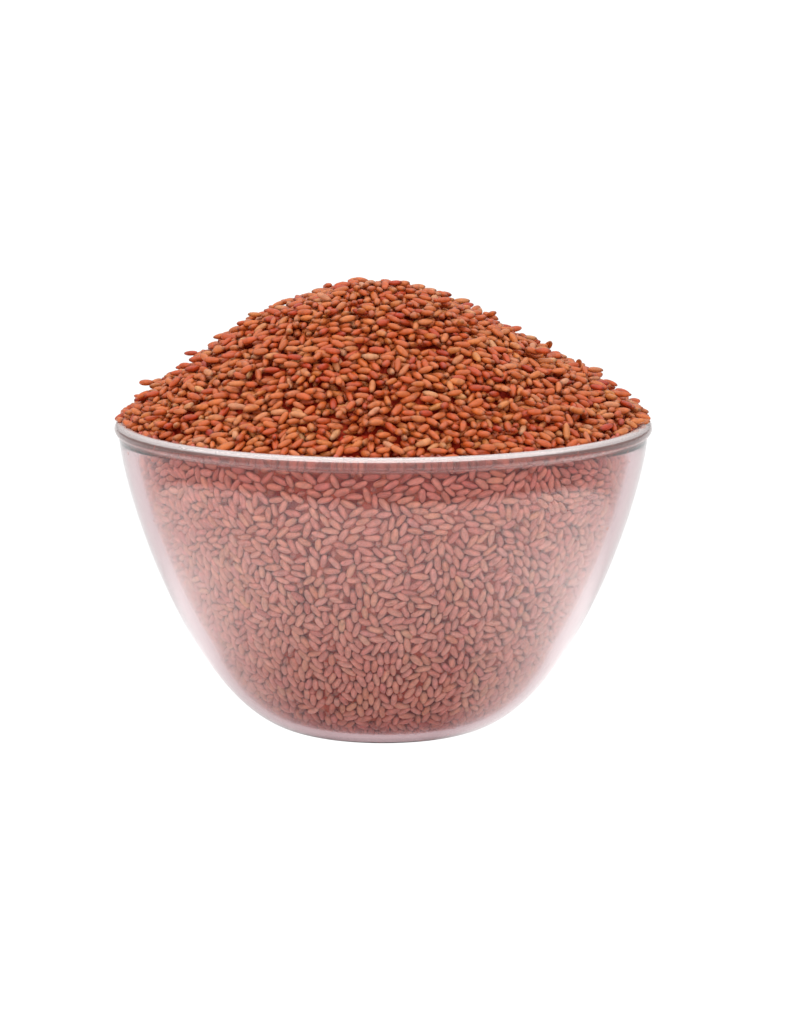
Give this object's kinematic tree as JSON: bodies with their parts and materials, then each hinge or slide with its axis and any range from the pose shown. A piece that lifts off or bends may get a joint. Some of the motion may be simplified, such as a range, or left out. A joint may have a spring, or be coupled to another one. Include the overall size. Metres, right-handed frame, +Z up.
{
  "type": "bowl of garden cress seeds",
  "caption": "Small round clear glass bowl with a rounded lip, filled with reddish-brown garden cress seeds that rise above the lip in a blunt cone.",
  "frame": {"origin": "centre of the bowl's flat underside, on the surface that it stands on", "axes": "+Z up along the bowl's axis, the bowl is round about Z, -Y is the side that the picture shows"},
  "size_m": [0.09, 0.09, 0.0759],
  "materials": {
    "glass": "smooth, clear, with a faint lilac tint",
    "seeds": "dry seed coats, smooth with a soft satin shine"
  },
  "bodies": {
    "root": {"glass_bowl": "glass", "cress_seeds": "seeds"}
  },
  "joints": []
}
